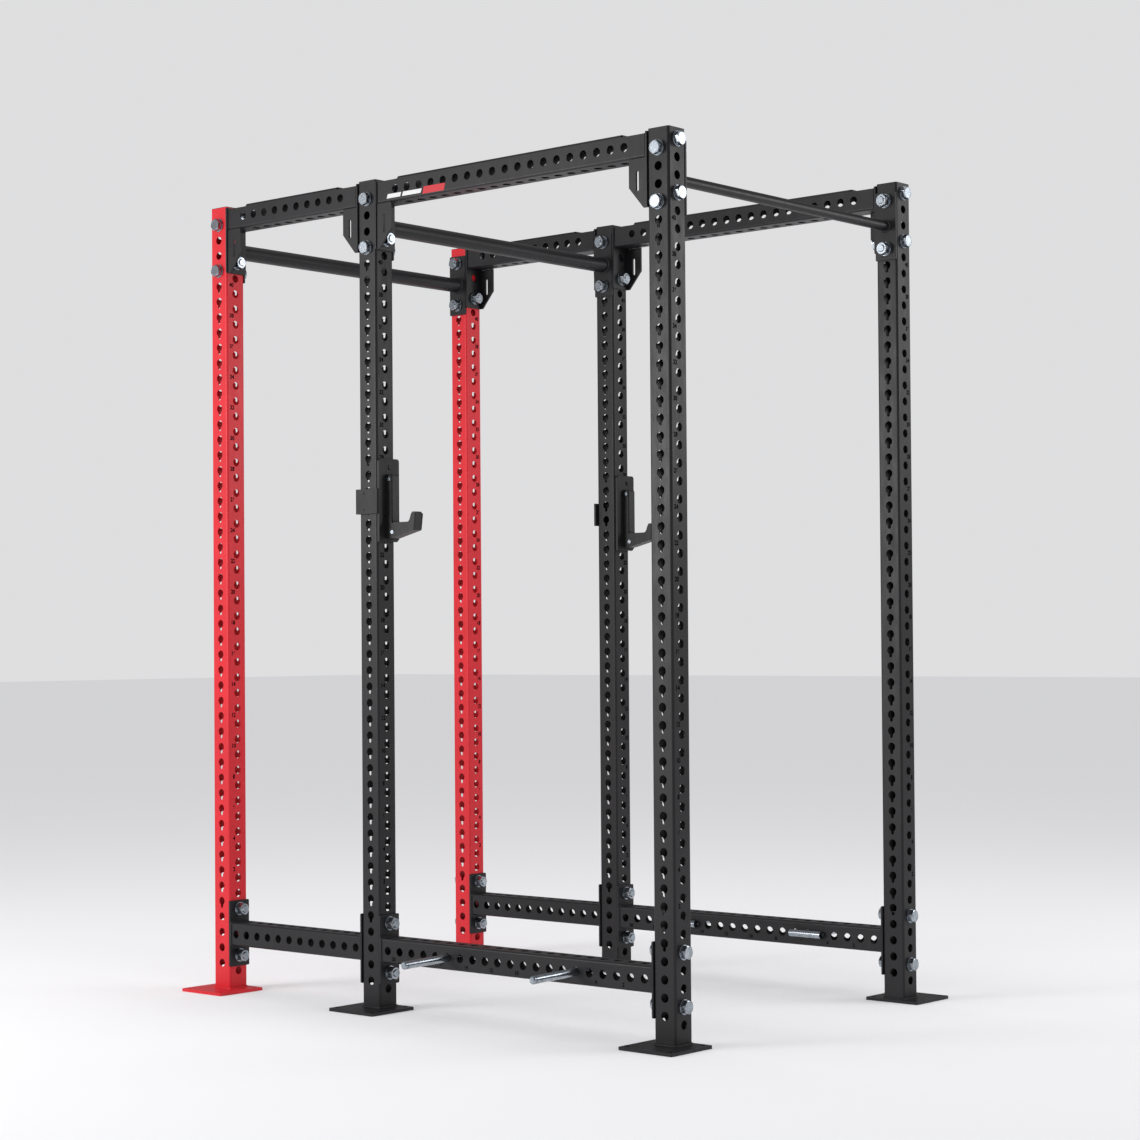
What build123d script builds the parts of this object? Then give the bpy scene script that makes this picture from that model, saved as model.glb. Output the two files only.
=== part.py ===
from build123d import *
import os
from math import cos, radians, sin, tan

# A power cage: six square uprights on bolted-down feet, joined from front to back by
# bottom and top beams and from side to side by three pull-up bars.
# Millimetres. X is the width (left is -X), Y runs from the front to the back, Z is up.
# The origin is on the floor, under the middle of the cage.

# ---- driving dimensions: frame ----
TUBE = 76.2                 # outside width of every square tube
WALL = 3.05
CORNER = 7.0                # outside corner radius of the tubes
UPRIGHT_LENGTH = 2578.1
WIDTH = 1238.25             # over the outer faces of the uprights
FRONT_BAY = 1085.85         # clear depth between front and middle uprights
REAR_BAY = 619.125          # clear depth between middle and rear uprights

# ---- driving dimensions: hole rows ----
HOLE_PITCH = 50.8
HOLE_RADIUS = 13.1
FACE_HOLES = 50             # holes in the front and back faces of an upright
FACE_FIRST = 57.15          # height of the lowest one above the tube's foot
SIDE_HOLES = 49             # holes in the side faces, half a pitch higher
KEY_FIRST = 5               # the first and last side holes that are keyholes
KEY_LAST = 45
KEY_WIDTH = 11.0
KEY_DROP = 17.5             # from the hole's centre down to the centre of the slot's end
BOTTOM_HOLES = {"front": 21, "rear": 12}
TOP_HOLES = {"front": 19, "rear": 10}

# ---- driving dimensions: feet and caps ----
FOOT_X = 184.15
FOOT_Y = 190.5
FOOT_THICKNESS = 9.525
FOOT_OUTSET = 91.95         # how far a foot reaches past the upright's outer face
ANCHOR_RADIUS = 7.15
ANCHOR_INSET = 19.05
WELD_LEG = 5.0
CAP_LIP = 1.5
CAP_DEPTH = 10.0
CAP_WALL = 2.5

# ---- driving dimensions: flanges, gussets and pull-up bars ----
FLANGE_WIDTH = 84.0
FLANGE_HEIGHT = 215.9
FLANGE_THICKNESS = 6.35
FLANGE_CORNER = 4.0
FLANGE_TOP_MARGIN = 28.0    # from a flange's top edge to its upper bolt
BAR_PLATE_WIDTH = 76.0      # narrower, so that it fits between the flanges
BOTTOM_BOLTS = (2, 5)       # face holes that bolt the bottom flanges
TOP_BOLTS = (47, 50)        # face holes that bolt the top flanges
BAR_BOLTS = (46, 49)        # side holes that bolt the pull-up bars
TOP_BEAM_DROP = 1.4         # from the top of an upright down to the top of a top beam
NOTCH_DEPTH = 8.0
NOTCH_LENGTH = 90.0         # its inner end slopes at 45 degrees
GUSSET_THICKNESS = 6.0
GUSSET_REACH = 68.3         # from the upright's face to the gusset's far edge
GUSSET_EDGE = 81.2          # length of the gusset's vertical far edge
GUSSET_FOOT = 16.0          # width of the gusset's lower end
GUSSET_SLOT_DROP = 64.0     # from the beam's underside down to the slot's middle
GUSSET_SLOT_WIDTH = 10.0
GUSSET_SLOT_LENGTH = 58.0
BAR_RADIUS = {"front": 15.875, "middle": 25.4, "rear": 25.4}
BAR_WALL = 3.2

# ---- driving dimensions: fasteners ----
BOLT_RADIUS = 12.0
HEX_FLATS = 36.0
HEAD_HEIGHT = 15.0
NUT_HEIGHT = 21.5
WASHER_RADIUS = 22.0
WASHER_THICKNESS = 4.0
BOLT_TAIL = 4.0             # thread that stands out past the nut

# ---- driving dimensions: bar hooks ----
HOOK_HOLE = 33              # face hole of the middle uprights that takes the hook's pin
PLATE_WIDTH = 89.0
PLATE_OVERHANG = 0.4        # how far the front plate reaches past the upright's left face
PLATE_THICKNESS = 9.5
PLATE_GAP = 0.4             # between the front plate and the upright
PLATE_TOP = 24.75           # above the pin
PLATE_BOTTOM = 234.75       # below the pin
PLATE_CORNER = 9.5
EDGE_BREAK = 0.5
PULLED = {"left": 0.0, "right": 4.4}    # the right hook is drawn forward on its pin
EAR_THICKNESS = 7.9
EAR_HEIGHT = 77.5
EAR_DROP = 108.5            # from the pin down to the middle of the ear
EAR_END = 88.8              # from the upright's front face to the ear's far end
EAR_BEND = 6.0
CATCH_PAST = 10.0           # how far the catch behind the upright reaches past its inner face
EAR_SLOT_REACH = 59.1       # from the front plate to the two slots in the ear
EAR_SLOT_INSET = 13.6
EAR_SLOT_LENGTH = 7.0
EAR_SLOT_WIDTH = 3.0
ARM_INSET = 48.5            # from the upright's left face to the middle of the arm
ARM_WIDTH = 37.0
LINER_WIDTH = 26.0
LINER_PROUD = 2.0           # how far the plastic liner stands proud of the steel cheeks
LEG_DEPTH = 20.5            # the cheeks' upright leg, measured from the front plate
LEG_TOP = 24.75             # below the pin
SHELF_DROP = 175.0          # from the pin down to the cradle's floor
LIP_FOOT = 97.0             # from the front plate to where the lip starts to rise
LIP_INNER = 108.0           # from the front plate to the inner edge of the lip's top
LIP_OUTER = 124.0
LIP_DROP = 148.5            # from the pin down to the top of the cheeks' lip
LINER_TIP = 4.0             # how far the liner's lip stands above the cheeks
NOSE_REACH = 117.0
NOSE_DROP = 202.0           # from the pin down to the lower front corner
KEEL_REACH = 24.0
KEEL_DROP = 224.25          # from the pin down to the arm's lowest edge
LEG_ROUND = 8.0
CRADLE_ROUND = 9.0
LIP_FOOT_ROUND = 16.0
LIP_ROUND = 5.0
KEEL_ROUND = 20.0
SCREW_REACHES = (12.4, 27.0)
SCREW_DROPS = (39.0, 205.0)
SCREW_RADIUS = 4.0
SCREW_HEAD_RADIUS = 7.0
SCREW_HEAD = 3.0
PIN_RADIUS = 12.5
PIN_SEAT = 6.0              # how deep the pin sits in the front plate
PIN_FIT = 0.05              # radial clearance in that seat
PIN_PAST = 4.0              # how far the pin reaches past the back of the upright
PIN_CHAMFER = 3.0

# ---- driving dimensions: band pegs ----
PEG_RADIUS = 11.9
PEG_REACH = 191.0           # past the beam's outer face
PEG_TILT = 1.3              # degrees that the outer end droops
PEG_HOLES = (6, 16)         # side holes of the front bay's bottom beams, from the front
HANDLE_RADIUS = 12.0
HANDLE_LENGTH = 120.0
HANDLE_WALL = 3.0
HANDLE_BORE = 20.0
PEG_CHAMFER = 3.0
GROOVE_INSET = 12.0
GROOVE_DEPTH = 1.5
GROOVE_WIDTH = 3.0
CLEARANCE = 0.3

# ---- places worked out from the above ----
HALF = TUBE / 2
DEPTH = 3 * TUBE + FRONT_BAY + REAR_BAY
TOP = FOOT_THICKNESS + UPRIGHT_LENGTH
SIDE_X = WIDTH / 2 - HALF
SIDES = {"left": -1, "right": 1}
ROWS = {
    "front": -DEPTH / 2 + HALF,
    "middle": -DEPTH / 2 + TUBE + FRONT_BAY + HALF,
    "rear": DEPTH / 2 - HALF,
}
BAYS = {"front": ("front", "middle"), "rear": ("middle", "rear")}
BAY_LENGTH = {"front": FRONT_BAY, "rear": REAR_BAY}


def face_hole_z(number):
    """Height above the floor of a hole in an upright's front and back faces."""
    return FOOT_THICKNESS + FACE_FIRST + (number - 1) * HOLE_PITCH


def side_hole_z(number):
    """Height above the floor of a hole in an upright's side faces."""
    return face_hole_z(number) + HOLE_PITCH / 2


BOTTOM_FLANGE_Z = face_hole_z(BOTTOM_BOLTS[1]) + FLANGE_TOP_MARGIN - FLANGE_HEIGHT / 2
TOP_FLANGE_Z = face_hole_z(TOP_BOLTS[1]) + FLANGE_TOP_MARGIN - FLANGE_HEIGHT / 2
BAR_PLATE_Z = side_hole_z(BAR_BOLTS[1]) + FLANGE_TOP_MARGIN - FLANGE_HEIGHT / 2
TOP_BEAM_Z = TOP - TOP_BEAM_DROP - HALF

os.makedirs("parts", exist_ok=True)


def save(part, label):
    part.label = label
    export_step(part, f"parts/{label}.step")


def placed(shape, x, y, z, mirrored=False):
    """A copy of a shape that was made at the origin, mirrored left to right if asked."""
    if mirrored:
        shape = mirror(shape, about=Plane.YZ)
    return shape.moved(Location((x, y, z)))


# ---- uprights ----
with BuildPart() as upright:
    with BuildSketch():
        RectangleRounded(TUBE, TUBE, CORNER)
        RectangleRounded(TUBE - 2 * WALL, TUBE - 2 * WALL, CORNER - WALL, mode=Mode.SUBTRACT)
    extrude(amount=UPRIGHT_LENGTH)
    face_heights = [FACE_FIRST + n * HOLE_PITCH for n in range(FACE_HOLES)]
    with BuildSketch(Plane.XZ):
        with Locations([(0, z) for z in face_heights]):
            Circle(HOLE_RADIUS)
    extrude(amount=TUBE, both=True, mode=Mode.SUBTRACT)
    side_heights = [FACE_FIRST + (n + 0.5) * HOLE_PITCH for n in range(SIDE_HOLES)]
    key_heights = side_heights[KEY_FIRST - 1:KEY_LAST]
    with BuildSketch(Plane.YZ):
        with Locations([(0, z) for z in side_heights]):
            Circle(HOLE_RADIUS)
        with Locations([(0, z - KEY_DROP / 2) for z in key_heights]):
            Rectangle(KEY_WIDTH, KEY_DROP)
        with Locations([(0, z - KEY_DROP) for z in key_heights]):
            Circle(KEY_WIDTH / 2)
    extrude(amount=TUBE, both=True, mode=Mode.SUBTRACT)

for row, y in ROWS.items():
    for side, sign in SIDES.items():
        save(placed(upright.part, sign * SIDE_X, y, FOOT_THICKNESS), f"upright_{row}_{side}")

# ---- feet, each with its weld bead around the tube ----
with BuildPart() as foot:
    foot_middle = HALF + FOOT_OUTSET - FOOT_X / 2
    with BuildSketch():
        with Locations((foot_middle, 0)):
            Rectangle(FOOT_X, FOOT_Y)
            with GridLocations(FOOT_X - 2 * ANCHOR_INSET, FOOT_Y - 2 * ANCHOR_INSET, 2, 2):
                Circle(ANCHOR_RADIUS, mode=Mode.SUBTRACT)
    extrude(amount=FOOT_THICKNESS)
    chamfer(foot.edges().filter_by(Axis.Z).filter_by(GeomType.LINE), 2)
    with BuildSketch(Plane.XY.offset(FOOT_THICKNESS)):
        RectangleRounded(TUBE + 2 * WELD_LEG, TUBE + 2 * WELD_LEG, CORNER + WELD_LEG)
    extrude(amount=WELD_LEG - 0.5, taper=45)
    with BuildSketch(Plane.XY.offset(FOOT_THICKNESS)):
        RectangleRounded(TUBE, TUBE, CORNER)
    extrude(amount=WELD_LEG, mode=Mode.SUBTRACT)

for row, y in ROWS.items():
    for side, sign in SIDES.items():
        save(placed(foot.part, sign * SIDE_X, y, 0, sign < 0), f"foot_{row}_{side}")

# ---- plastic caps in the tops of the uprights ----
with BuildPart() as cap:
    plug = TUBE - 2 * WALL - 0.4
    with BuildSketch():
        RectangleRounded(TUBE, TUBE, CORNER)
    extrude(amount=CAP_LIP)
    chamfer(cap.faces().sort_by(Axis.Z)[-1].edges(), 0.7)
    with BuildSketch():
        RectangleRounded(plug, plug, CORNER - WALL)
        RectangleRounded(plug - 2 * CAP_WALL, plug - 2 * CAP_WALL, 1, mode=Mode.SUBTRACT)
    extrude(amount=-CAP_DEPTH)

caps = [placed(cap.part, s * SIDE_X, y, TOP) for y in ROWS.values() for s in SIDES.values()]
save(Compound(children=caps), "upright_caps")


# ---- beams along the sides ----
def beam(length, side_count, notched):
    """A punched square tube along Y, centred on the origin."""
    with BuildPart() as tube:
        with BuildSketch(Plane.XZ):
            RectangleRounded(TUBE, TUBE, CORNER)
            RectangleRounded(TUBE - 2 * WALL, TUBE - 2 * WALL, CORNER - WALL, mode=Mode.SUBTRACT)
        extrude(amount=length / 2, both=True)
        with BuildSketch(Plane.YZ):
            with GridLocations(HOLE_PITCH, 1, side_count, 1):
                Circle(HOLE_RADIUS)
        extrude(amount=TUBE, both=True, mode=Mode.SUBTRACT)
        with BuildSketch(Plane.XY):
            with GridLocations(1, HOLE_PITCH, 1, side_count - 1):
                Circle(HOLE_RADIUS)
        extrude(amount=TUBE, both=True, mode=Mode.SUBTRACT)
        if notched:
            step = length / 2 - NOTCH_LENGTH
            with BuildSketch(Plane.YZ) as notches:
                with BuildLine():
                    Polyline(
                        (length / 2, HALF),
                        (step, HALF),
                        (step + NOTCH_DEPTH, HALF - NOTCH_DEPTH),
                        (length / 2, HALF - NOTCH_DEPTH),
                        close=True,
                    )
                make_face()
                mirror(about=Plane.XZ)
            extrude(amount=TUBE, both=True, mode=Mode.SUBTRACT)
    return tube.part


for bay, (near, far) in BAYS.items():
    middle_y = (ROWS[near] + ROWS[far]) / 2
    beam_length = BAY_LENGTH[bay] - 2 * FLANGE_THICKNESS
    bottom_beam = beam(beam_length, BOTTOM_HOLES[bay], False)
    top_beam = beam(beam_length, TOP_HOLES[bay], True)
    for side, sign in SIDES.items():
        x = sign * SIDE_X
        save(placed(bottom_beam, x, middle_y, BOTTOM_FLANGE_Z), f"bottom_beam_{bay}_{side}")
        save(placed(top_beam, x, middle_y, TOP_BEAM_Z), f"top_beam_{bay}_{side}")

# ---- flanges: one plate for every beam end and every pull-up bar end ----
bolt_span = 3 * HOLE_PITCH
upper_bolt = FLANGE_HEIGHT / 2 - FLANGE_TOP_MARGIN


def flange(width, plane):
    """A plate with three bolt holes, centred on the origin and upright in the given plane."""
    with BuildPart() as plate:
        with BuildSketch(plane):
            RectangleRounded(width, FLANGE_HEIGHT, FLANGE_CORNER)
            with Locations([(0, upper_bolt - n * bolt_span / 2) for n in range(3)]):
                Circle(HOLE_RADIUS, mode=Mode.SUBTRACT)
        extrude(amount=FLANGE_THICKNESS / 2, both=True)
    return plate.part


beam_flange = flange(FLANGE_WIDTH, Plane.XZ)
bar_plate = flange(BAR_PLATE_WIDTH, Plane.YZ)

BEAM_ENDS = [
    (ROWS[near] + HALF + FLANGE_THICKNESS / 2, 1) for near, far in BAYS.values()
] + [
    (ROWS[far] - HALF - FLANGE_THICKNESS / 2, -1) for near, far in BAYS.values()
]
for side, sign in SIDES.items():
    for level, z in (("bottom", BOTTOM_FLANGE_Z), ("top", TOP_FLANGE_Z)):
        plates = [placed(beam_flange, sign * SIDE_X, y, z) for y, facing in BEAM_ENDS]
        save(Compound(children=plates), f"{level}_flanges_{side}")

# ---- gussets under the top beams, flush with the beams' outer faces ----
gusset_top = TOP_BEAM_Z - HALF
gusset_bottom = TOP_FLANGE_Z - FLANGE_HEIGHT / 2
with BuildPart() as gusset:
    with BuildSketch(Plane.YZ.offset(HALF - GUSSET_THICKNESS)):
        with BuildLine():
            Polyline(
                (FLANGE_THICKNESS, gusset_top),
                (GUSSET_REACH, gusset_top),
                (GUSSET_REACH, gusset_top - GUSSET_EDGE),
                (GUSSET_FOOT, gusset_bottom),
                (FLANGE_THICKNESS, gusset_bottom),
                close=True,
            )
        make_face()
        with Locations(((GUSSET_REACH + FLANGE_THICKNESS) / 2, gusset_top - GUSSET_SLOT_DROP)):
            SlotOverall(GUSSET_SLOT_LENGTH, GUSSET_SLOT_WIDTH, rotation=90, mode=Mode.SUBTRACT)
    extrude(amount=GUSSET_THICKNESS)
    chamfer(gusset.faces().filter_by(Axis.X).edges().filter_by(GeomType.LINE), 0.4)

for side, sign in SIDES.items():
    plates = []
    for y, facing in BEAM_ENDS:
        plate = gusset.part if facing > 0 else mirror(gusset.part, about=Plane.XZ)
        face_y = y - facing * FLANGE_THICKNESS / 2
        plates.append(placed(plate, sign * SIDE_X, face_y, 0, sign < 0))
    save(Compound(children=plates), f"top_gussets_{side}")

# ---- pull-up bars and their end plates ----
bar_length = WIDTH - 2 * TUBE - 2 * FLANGE_THICKNESS
for row, y in ROWS.items():
    plate_x = SIDE_X - HALF - FLANGE_THICKNESS / 2
    plates = [placed(bar_plate, sign * plate_x, y, BAR_PLATE_Z) for sign in SIDES.values()]
    save(Compound(children=plates), f"pull_up_plates_{row}")
    with BuildPart() as bar:
        with BuildSketch(Plane.YZ):
            with Locations((y, BAR_PLATE_Z)):
                Circle(BAR_RADIUS[row])
                Circle(BAR_RADIUS[row] - BAR_WALL, mode=Mode.SUBTRACT)
        extrude(amount=bar_length / 2, both=True)
    save(bar.part, f"pull_up_bar_{row}")


# ---- hexagon bolts, nuts and washers ----
def bolt(grip):
    """A bolt along +Z whose head bears on z = 0 and whose nut sits at z = grip."""
    with BuildPart() as screw:
        with BuildSketch(Plane.XY.offset(-HEAD_HEIGHT)):
            RegularPolygon(HEX_FLATS / 2, 6, major_radius=False)
        extrude(amount=HEAD_HEIGHT)
        with BuildSketch():
            Circle(BOLT_RADIUS)
        extrude(amount=grip + NUT_HEIGHT + BOLT_TAIL)
        chamfer(screw.edges().filter_by(GeomType.CIRCLE).sort_by(Axis.Z)[-1], 1.5)
    return screw.part


with BuildPart() as nut:
    with BuildSketch():
        RegularPolygon(HEX_FLATS / 2, 6, major_radius=False)
        Circle(BOLT_RADIUS, mode=Mode.SUBTRACT)
    extrude(amount=NUT_HEIGHT)

with BuildPart() as washer:
    with BuildSketch():
        Circle(WASHER_RADIUS)
        Circle(BOLT_RADIUS, mode=Mode.SUBTRACT)
    extrude(amount=WASHER_THICKNESS)

# Each bolted joint is (node name, head point, direction from head to nut, clamped thickness).
BOLT_HEIGHTS = [face_hole_z(n) for n in BOTTOM_BOLTS + TOP_BOLTS]
short_grip = TUBE + FLANGE_THICKNESS
long_grip = TUBE + 2 * FLANGE_THICKNESS
joints = []
for sign in SIDES.values():
    x = sign * SIDE_X
    for z in BOLT_HEIGHTS:
        joints.append(("end", (x, ROWS["front"] - HALF, z), (0, 1, 0), short_grip))
        joints.append(("middle", (x, ROWS["middle"] + HALF + FLANGE_THICKNESS, z), (0, -1, 0), long_grip))
        joints.append(("end", (x, ROWS["rear"] + HALF, z), (0, -1, 0), short_grip))
    for row, y in ROWS.items():
        for number in BAR_BOLTS:
            head = (sign * WIDTH / 2, y, side_hole_z(number))
            joints.append(("cross", head, (-sign, 0, 0), short_grip))

bolts = {"end": [], "middle": [], "cross": []}
nuts = []
washers = []
for kind, head, direction, grip in joints:
    axis_plane = Plane(origin=head, x_dir=(0, 0, 1), z_dir=direction)
    bolts[kind].append(bolt(grip + WASHER_THICKNESS).moved(axis_plane.offset(-WASHER_THICKNESS).location))
    washers.append(washer.part.moved(axis_plane.offset(-WASHER_THICKNESS).location))
    washers.append(washer.part.moved(axis_plane.offset(grip).location))
    nuts.append(nut.part.moved(axis_plane.offset(grip + WASHER_THICKNESS).location))
for kind, group in bolts.items():
    save(Compound(children=group), f"{kind}_bolts")
save(Compound(children=nuts), "nuts")
save(Compound(children=washers), "washers")

# ---- bar hooks ----
# Their local origin is on the pin's axis, in the plane of the upright's front face. Both hooks
# have the same plate and arm; the ear wraps the outer side of the upright and ends in a catch
# behind it, so the ear of the right hook is the mirror image of the left one.
plate_back = -PLATE_GAP
plate_front = plate_back - PLATE_THICKNESS
plate_left = -HALF - PLATE_OVERHANG
arm_x = -HALF + ARM_INSET

with BuildPart() as hook_plate:
    with BuildSketch(Plane.XZ.offset(-plate_back)) as plate_outline:
        with Locations((plate_left + PLATE_WIDTH / 2, (PLATE_TOP - PLATE_BOTTOM) / 2)):
            Rectangle(PLATE_WIDTH, PLATE_TOP + PLATE_BOTTOM)
        fillet(plate_outline.vertices().group_by(Axis.Y)[-1], PLATE_CORNER)
        chamfer(plate_outline.vertices().group_by(Axis.Y)[0].sort_by(Axis.X)[-1], PLATE_CORNER)
    extrude(amount=PLATE_THICKNESS)
    chamfer(hook_plate.faces().filter_by(Axis.Y).edges(), EDGE_BREAK)
    with BuildSketch(Plane.XZ.offset(-plate_back)):
        Circle(PIN_RADIUS + PIN_FIT)
    extrude(amount=PIN_SEAT, mode=Mode.SUBTRACT)


def hook_ear(start):
    """The ear for the left side, whose front end is at the given depth, with its catch."""
    inner = plate_left
    outer = inner - EAR_THICKNESS
    catch_end = HALF + CATCH_PAST
    with BuildPart() as ear:
        with BuildSketch(Plane.XY.offset(-EAR_DROP - EAR_HEIGHT / 2)):
            with BuildLine():
                Polyline(
                    (inner, start),
                    (inner, EAR_END - EAR_THICKNESS),
                    (catch_end, EAR_END - EAR_THICKNESS),
                    (catch_end, EAR_END),
                    (outer, EAR_END),
                    (outer, start),
                    close=True,
                )
            make_face()
        extrude(amount=EAR_HEIGHT)
        bends = ear.edges().filter_by(Axis.Z).group_by(Axis.X)[0]
        fillet(bends if start < plate_back else bends.sort_by(Axis.Y)[-1], EAR_BEND)
        slot_y = plate_front + EAR_SLOT_REACH
        slot_rise = EAR_HEIGHT / 2 - EAR_SLOT_INSET
        with BuildSketch(Plane.YZ.offset(outer)):
            with Locations((slot_y, -EAR_DROP - slot_rise), (slot_y, -EAR_DROP + slot_rise)):
                SlotOverall(EAR_SLOT_LENGTH, EAR_SLOT_WIDTH, rotation=90)
        extrude(amount=EAR_THICKNESS, mode=Mode.SUBTRACT)
    return ear.part


# The screws that clamp the cheeks to the liner, as (distance from plate, drop from pin).
screw_spots = list(zip(SCREW_REACHES, SCREW_DROPS))


def arm_slice(left, width, proud, lip_top):
    """A J-shaped slice of the arm whose bearing surfaces stand proud by the given amount."""
    leg = LEG_DEPTH + proud
    shelf = -SHELF_DROP - LINER_PROUD + proud
    outline = [
        (0, -LEG_TOP, 0),
        (leg, -LEG_TOP, LEG_ROUND),
        (leg, shelf, CRADLE_ROUND),
        (LIP_FOOT - proud, shelf, LIP_FOOT_ROUND),
        (LIP_INNER - proud, lip_top, LIP_ROUND),
        (LIP_OUTER, lip_top, LIP_ROUND),
        (NOSE_REACH, -NOSE_DROP, LIP_ROUND),
        (KEEL_REACH, -KEEL_DROP, KEEL_ROUND),
        (0, -KEEL_DROP, 0),
    ]
    with BuildPart() as piece:
        with BuildSketch(Plane.YZ.offset(left)):
            with BuildLine():
                corners = [(plate_front - reach, z) for reach, z, radius in outline]
                radii = [radius for reach, z, radius in outline]
                FilletPolyline(*corners, radius=radii[1:-1])
                Line(corners[-1], corners[0])
            make_face()
            with Locations([(plate_front - reach, -drop) for reach, drop in screw_spots]):
                Circle(SCREW_RADIUS + CLEARANCE / 2, mode=Mode.SUBTRACT)
        extrude(amount=width)
    return piece.part


cheek_width = (ARM_WIDTH - LINER_WIDTH) / 2
hook_liner = arm_slice(arm_x - LINER_WIDTH / 2, LINER_WIDTH, LINER_PROUD, -LIP_DROP + LINER_TIP)
hook_cheeks = Compound(children=[
    arm_slice(arm_x - ARM_WIDTH / 2, cheek_width, 0, -LIP_DROP),
    arm_slice(arm_x + LINER_WIDTH / 2, cheek_width, 0, -LIP_DROP),
])

with BuildPart() as hook_screw:
    with BuildSketch(Plane.YZ.offset(-ARM_WIDTH / 2)):
        Circle(SCREW_RADIUS)
    extrude(amount=ARM_WIDTH)
    for direction in (-1, 1):
        with BuildSketch(Plane.YZ.offset(direction * ARM_WIDTH / 2)):
            Circle(SCREW_HEAD_RADIUS)
        extrude(amount=direction * SCREW_HEAD)
    ends = hook_screw.faces().filter_by(Axis.X).sort_by(Axis.X)
    chamfer([ends[0].edges()[0], ends[-1].edges()[0]], 1)

with BuildPart() as hook_pin:
    with BuildSketch(Plane.XZ.offset(-plate_back + PIN_SEAT)):
        Circle(PIN_RADIUS)
    extrude(amount=-(PIN_SEAT + PLATE_GAP + TUBE + PIN_PAST))
    chamfer(hook_pin.edges().filter_by(GeomType.CIRCLE).sort_by(Axis.Y)[-1], PIN_CHAMFER)

hook_z = face_hole_z(HOOK_HOLE)
hook_screws = Compound(children=[
    hook_screw.part.moved(Location((arm_x, plate_front - reach, -drop))) for reach, drop in screw_spots
])
for side, sign in SIDES.items():
    # The left ear bends round from the plate's edge; the right one starts behind the plate.
    ear = hook_ear(plate_front if side == "left" else plate_back)
    hook_pieces = {
        "plate": hook_plate.part,
        "ear": ear if side == "left" else mirror(ear, about=Plane.YZ),
        "cheeks": hook_cheeks,
        "liner": hook_liner,
        "screws": hook_screws,
        "pin": hook_pin.part,
    }
    hook_y = ROWS["middle"] - HALF - PULLED[side]
    for piece, shape in hook_pieces.items():
        save(placed(shape, sign * SIDE_X, hook_y, hook_z), f"hook_{piece}_{side}")

# ---- band pegs, made for the left side ----
# Their local origin is in the middle of the beam; the outer end droops.
outward = (-cos(radians(PEG_TILT)), 0, -sin(radians(PEG_TILT)))
handle_x = HALF + CLEARANCE + HANDLE_RADIUS
peg_inner = handle_x / cos(radians(PEG_TILT))
peg_outer = (HALF + PEG_REACH) / cos(radians(PEG_TILT))
peg_plane = Plane(origin=(0, 0, 0), x_dir=(0, 1, 0), z_dir=outward)
with BuildPart() as peg:
    with BuildSketch(peg_plane.offset(-peg_inner)):
        Circle(PEG_RADIUS)
    extrude(amount=peg_inner + peg_outer)
    chamfer(peg.edges().filter_by(GeomType.CIRCLE).sort_by(Axis.X)[0], PEG_CHAMFER)
    with BuildSketch(peg_plane.offset(peg_outer - GROOVE_INSET)):
        Circle(PEG_RADIUS)
        Circle(PEG_RADIUS - GROOVE_DEPTH, mode=Mode.SUBTRACT)
    extrude(amount=GROOVE_WIDTH, mode=Mode.SUBTRACT)
    handle_plane = Plane(
        origin=(handle_x, 0, handle_x * tan(radians(PEG_TILT))), x_dir=(1, 0, 0), z_dir=(0, 1, 0)
    )
    with BuildSketch(handle_plane):
        Circle(HANDLE_RADIUS)
    extrude(amount=HANDLE_LENGTH / 2, both=True)
    for direction in (-1, 1):
        with BuildSketch(handle_plane.offset(direction * HANDLE_LENGTH / 2)):
            Circle(HANDLE_RADIUS - HANDLE_WALL)
        extrude(amount=-direction * HANDLE_BORE, mode=Mode.SUBTRACT)

first_hole_y = (ROWS["front"] + ROWS["middle"]) / 2 - (BOTTOM_HOLES["front"] - 1) / 2 * HOLE_PITCH
for side, sign in SIDES.items():
    for spot, hole in zip(("front", "back"), PEG_HOLES):
        y = first_hole_y + (hole - 1) * HOLE_PITCH
        save(placed(peg.part, sign * SIDE_X, y, BOTTOM_FLANGE_Z, sign > 0), f"band_peg_{spot}_{side}")
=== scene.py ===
from math import atan2, ceil, cos, pi, radians, sin, sqrt, tan

import bpy
from mathutils import Matrix, Vector
from mathutils.geometry import tessellate_polygon


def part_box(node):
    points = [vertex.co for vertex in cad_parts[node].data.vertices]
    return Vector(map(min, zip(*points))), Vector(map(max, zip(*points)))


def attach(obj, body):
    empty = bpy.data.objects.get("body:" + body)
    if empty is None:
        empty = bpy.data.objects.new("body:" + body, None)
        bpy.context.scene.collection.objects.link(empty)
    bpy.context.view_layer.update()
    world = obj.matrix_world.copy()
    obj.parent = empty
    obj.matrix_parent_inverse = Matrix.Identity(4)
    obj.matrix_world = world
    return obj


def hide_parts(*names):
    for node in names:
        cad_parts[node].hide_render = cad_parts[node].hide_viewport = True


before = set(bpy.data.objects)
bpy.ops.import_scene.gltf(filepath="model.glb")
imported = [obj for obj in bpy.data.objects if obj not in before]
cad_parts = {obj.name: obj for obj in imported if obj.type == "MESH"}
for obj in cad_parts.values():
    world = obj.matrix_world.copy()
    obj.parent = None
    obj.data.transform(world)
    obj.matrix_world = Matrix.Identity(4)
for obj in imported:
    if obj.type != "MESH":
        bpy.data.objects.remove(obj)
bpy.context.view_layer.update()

MM = 0.001
SIDES = ("left", "right")
ROWS = ("front", "middle", "rear")
BAYS = {"front": ("front", "middle"), "rear": ("middle", "rear")}
X, Y, Z = Vector((1, 0, 0)), Vector((0, 1, 0)), Vector((0, 0, 1))

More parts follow.
